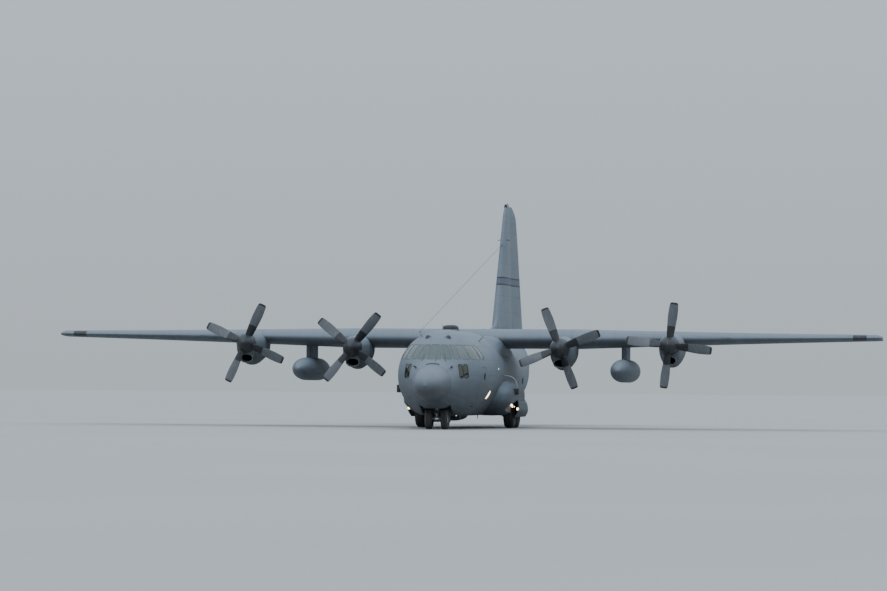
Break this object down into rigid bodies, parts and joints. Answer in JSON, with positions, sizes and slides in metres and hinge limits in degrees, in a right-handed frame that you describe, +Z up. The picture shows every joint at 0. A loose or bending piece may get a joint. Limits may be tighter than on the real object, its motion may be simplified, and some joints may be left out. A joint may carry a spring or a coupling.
{
  "type": "military transport plane, 1:2 scale model",
  "caption": "High-wing turboprop military transport plane on its landing gear, with a hollow cargo hold, rear ramp, underwing pylon tanks and a tall single fin; 1:2 scale model.",
  "frame": {"origin": "on the ground, midway between the nose tip and the tail tip, on the plane of symmetry", "axes": "+X to the aircraft's left wing tip, -Y to the nose, +Z up"},
  "size_m": [20.205, 14.895, 5.83],
  "materials": {
    "skin": "matte",
    "radome": "matte",
    "cockpit_glass": "gloss",
    "interior": "matte",
    "floor_metal": "satin",
    "tyre": "matte",
    "wheel_metal": "satin",
    "strut_metal": "satin",
    "engine_metal": "satin",
    "propeller": "matte"
  },
  "bodies": {
    "airframe": {"radome": "radome", "nose_section": "skin", "windscreen": "cockpit_glass", "lower_window_left": "cockpit_glass", "lower_window_right": "cockpit_glass", "flight_deck": "interior", "fuselage_centre": "skin", "cargo_floor": "floor_metal", "fuselage_aft": "skin", "para_door_left": "skin", "para_door_right": "skin", "wing_centre": "skin", "wing_left": "skin", "wing_right": "skin", "tailplane": "skin", "fin": "skin", "sponson_left": "skin", "sponson_right": "skin", "main_leg_left": "strut_metal", "main_leg_right": "strut_metal", "nose_leg": "strut_metal", "nose_door": "skin", "tank_left": "skin", "tank_right": "skin", "nacelle_outer_right": "skin", "engine_outer_right": "engine_metal", "nacelle_inner_right": "skin", "engine_inner_right": "engine_metal", "nacelle_inner_left": "skin", "engine_inner_left": "engine_metal", "nacelle_outer_left": "skin", "engine_outer_left": "engine_metal"},
    "propeller_outer_right": {"propeller_outer_right": "propeller"},
    "propeller_inner_right": {"propeller_inner_right": "propeller"},
    "propeller_inner_left": {"propeller_inner_left": "propeller"},
    "propeller_outer_left": {"propeller_outer_left": "propeller"},
    "main_wheel_front_left": {"main_tyre_front_left": "tyre", "main_hub_front_left": "wheel_metal"},
    "main_wheel_rear_left": {"main_tyre_rear_left": "tyre", "main_hub_rear_left": "wheel_metal"},
    "main_wheel_front_right": {"main_tyre_front_right": "tyre", "main_hub_front_right": "wheel_metal"},
    "main_wheel_rear_right": {"main_tyre_rear_right": "tyre", "main_hub_rear_right": "wheel_metal"},
    "nose_steering": {"nose_fork": "strut_metal"},
    "nose_wheels": {"nose_tyre_left": "tyre", "nose_tyre_right": "tyre", "nose_hubs": "wheel_metal"},
    "crew_door": {"crew_door": "skin"},
    "ramp": {"ramp": "skin"},
    "cargo_door": {"cargo_door": "skin"},
    "rudder": {"rudder": "skin"},
    "flap_inner_left": {"flap_inner_left": "skin"},
    "flap_outer_left": {"flap_outer_left": "skin"},
    "flap_inner_right": {"flap_inner_right": "skin"},
    "flap_outer_right": {"flap_outer_right": "skin"},
    "aileron_left": {"aileron_left": "skin"},
    "aileron_right": {"aileron_right": "skin"},
    "elevator_left": {"elevator_left": "skin"},
    "elevator_right": {"elevator_right": "skin"}
  },
  "joints": [
    {"name": "propeller_outer_right_spin", "type": "hinge", "parent": "airframe", "child": "propeller_outer_right", "pos_m": [-5.13, -2.8975, 2.01], "axis": [0, -1, 0], "continuous": true},
    {"name": "propeller_inner_right_spin", "type": "hinge", "parent": "airframe", "child": "propeller_inner_right", "pos_m": [-2.515, -2.8975, 1.925], "axis": [0, -1, 0], "continuous": true},
    {"name": "propeller_inner_left_spin", "type": "hinge", "parent": "airframe", "child": "propeller_inner_left", "pos_m": [2.515, -2.8975, 1.925], "axis": [0, -1, 0], "continuous": true},
    {"name": "propeller_outer_left_spin", "type": "hinge", "parent": "airframe", "child": "propeller_outer_left", "pos_m": [5.13, -2.8975, 2.01], "axis": [0, -1, 0], "continuous": true},
    {"name": "main_wheel_front_left_spin", "type": "hinge", "parent": "airframe", "child": "main_wheel_front_left", "pos_m": [1.0875, -1.1225, 0.355], "axis": [1, 0, 0], "continuous": true},
    {"name": "main_wheel_rear_left_spin", "type": "hinge", "parent": "airframe", "child": "main_wheel_rear_left", "pos_m": [1.0875, -0.3625, 0.355], "axis": [1, 0, 0], "continuous": true},
    {"name": "main_wheel_front_right_spin", "type": "hinge", "parent": "airframe", "child": "main_wheel_front_right", "pos_m": [-1.0875, -1.1225, 0.355], "axis": [1, 0, 0], "continuous": true},
    {"name": "main_wheel_rear_right_spin", "type": "hinge", "parent": "airframe", "child": "main_wheel_rear_right", "pos_m": [-1.0875, -0.3625, 0.355], "axis": [1, 0, 0], "continuous": true},
    {"name": "nose_steer", "type": "hinge", "parent": "airframe", "child": "nose_steering", "pos_m": [0, -5.6275, 0.45], "axis": [0, 0, 1], "range_deg": [-60, 60]},
    {"name": "nose_wheels_spin", "type": "hinge", "parent": "nose_steering", "child": "nose_wheels", "pos_m": [0, -5.6275, 0.2475], "axis": [1, 0, 0], "continuous": true},
    {"name": "crew_door_hinge", "type": "hinge", "parent": "airframe", "child": "crew_door", "pos_m": [0.7625, -5.0175, 0.53], "axis": [0, 1, 0], "range_deg": [0, 100]},
    {"name": "ramp_hinge", "type": "hinge", "parent": "airframe", "child": "ramp", "pos_m": [0, 1.54, 0.33], "axis": [-1, 0, 0], "range_deg": [0, 26]},
    {"name": "cargo_door_hinge", "type": "hinge", "parent": "airframe", "child": "cargo_door", "pos_m": [0, 5.045, 1.4925], "axis": [-1, 0, 0], "range_deg": [0, 29]},
    {"name": "rudder_hinge", "type": "hinge", "parent": "airframe", "child": "rudder", "pos_m": [0, 6.1525, 4], "axis": [0, 0, 1], "range_deg": [-22, 48]},
    {"name": "flap_inner_left_hinge", "type": "hinge", "parent": "airframe", "child": "flap_inner_left", "pos_m": [1.95, -0.04311, 1.80842], "axis": [-1, 0, 0], "range_deg": [0, 35]},
    {"name": "flap_outer_left_hinge", "type": "hinge", "parent": "airframe", "child": "flap_outer_left", "pos_m": [4.475, -0.17823, 1.83153], "axis": [-1, 0, 0], "range_deg": [0, 35]},
    {"name": "flap_inner_right_hinge", "type": "hinge", "parent": "airframe", "child": "flap_inner_right", "pos_m": [-1.95, -0.04311, 1.80842], "axis": [-1, 0, 0], "range_deg": [0, 35]},
    {"name": "flap_outer_right_hinge", "type": "hinge", "parent": "airframe", "child": "flap_outer_right", "pos_m": [-4.475, -0.17823, 1.83153], "axis": [-1, 0, 0], "range_deg": [0, 35]},
    {"name": "aileron_left_hinge", "type": "hinge", "parent": "airframe", "child": "aileron_left", "pos_m": [7.95, -0.4738, 2.18176], "axis": [-0.9969, 0.0769, -0.0134], "range_deg": [-15, 15]},
    {"name": "aileron_right_hinge", "type": "hinge", "parent": "airframe", "child": "aileron_right", "pos_m": [-7.95, -0.4738, 2.18176], "axis": [-0.9969, -0.0769, 0.0134], "range_deg": [-15, 15]},
    {"name": "elevator_left_hinge", "type": "hinge", "parent": "airframe", "child": "elevator_left", "pos_m": [2.145, 5.9975, 2.36], "axis": [-0.9994, 0.0342, 0], "range_deg": [-40, 15]},
    {"name": "elevator_right_hinge", "type": "hinge", "parent": "airframe", "child": "elevator_right", "pos_m": [-2.145, 5.9975, 2.36], "axis": [-0.9994, -0.0342, 0], "range_deg": [-40, 15]}
  ],
  "couplings": [
    {"joint": "flap_outer_left_hinge", "follows": "flap_inner_left_hinge", "ratio": 1},
    {"joint": "flap_inner_right_hinge", "follows": "flap_inner_left_hinge", "ratio": 1},
    {"joint": "flap_outer_right_hinge", "follows": "flap_inner_left_hinge", "ratio": 1},
    {"joint": "aileron_right_hinge", "follows": "aileron_left_hinge", "ratio": -1},
    {"joint": "elevator_right_hinge", "follows": "elevator_left_hinge", "ratio": 1}
  ]
}
